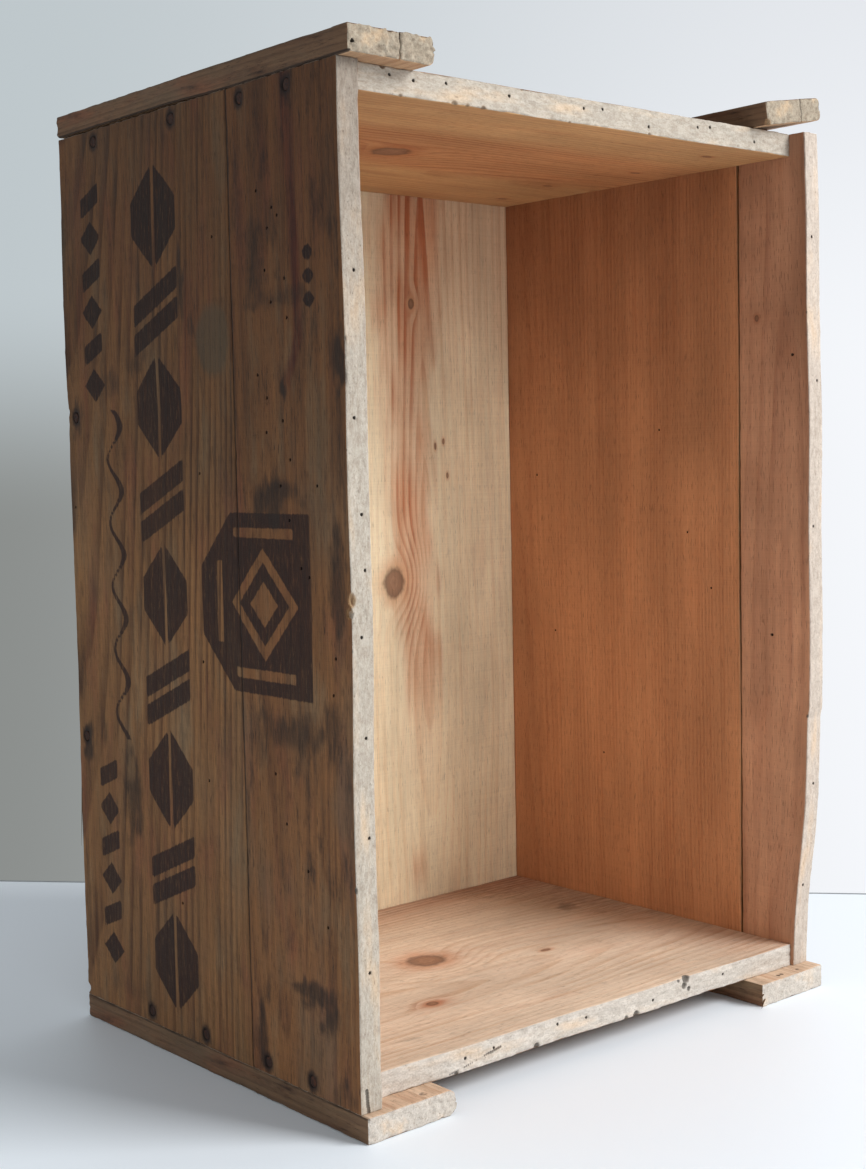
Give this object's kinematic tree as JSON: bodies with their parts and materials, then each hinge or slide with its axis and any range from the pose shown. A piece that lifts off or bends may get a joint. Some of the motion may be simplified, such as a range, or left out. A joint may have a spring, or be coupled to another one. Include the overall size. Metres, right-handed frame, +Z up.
{
  "type": "wooden bottle crate",
  "caption": "Old nailed pine bottle crate stood on end, open at one side, with board sides and end battens, one batten lifted loose.",
  "frame": {"origin": "centre of the footprint at the underside of the two lower battens, as the crate stands on end", "axes": "+Z up along the crate's length, -Y out of the open mouth, +Y to the closed back, +X across to the right as seen from the mouth"},
  "size_m": [0.3375, 0.259, 0.5078],
  "materials": {
    "weathered_pine": "unfinished, dirty and darkened by age",
    "orange_pine": "unfinished, aged to orange on the inside",
    "tan_pine": "unfinished, rubbed and dusty",
    "cream_pine": "unfinished, pale sapwood",
    "rough_pine": "rough sawn, grey and splintered",
    "rusty_steel": "rusted dark"
  },
  "bodies": {
    "root": {"left_side_front_board": "weathered_pine", "left_side_rear_board": "weathered_pine", "right_side_front_board": "orange_pine", "right_side_rear_board": "orange_pine", "top_end_board": "orange_pine", "bottom_end_board": "tan_pine", "back_left_board": "cream_pine", "back_right_board": "cream_pine", "top_left_batten": "rough_pine", "top_right_batten": "rough_pine", "bottom_left_batten": "rough_pine", "bottom_right_batten": "rough_pine", "left_side_top_nails": "rusty_steel", "left_side_bottom_nails": "rusty_steel", "right_side_top_nails": "rusty_steel", "right_side_bottom_nails": "rusty_steel", "left_side_back_nails": "rusty_steel", "right_side_back_nails": "rusty_steel", "back_top_nails": "rusty_steel", "back_bottom_nails": "rusty_steel", "top_left_batten_nails": "rusty_steel", "top_right_batten_nails": "rusty_steel", "bottom_left_batten_nails": "rusty_steel", "bottom_right_batten_nails": "rusty_steel"}
  },
  "joints": []
}
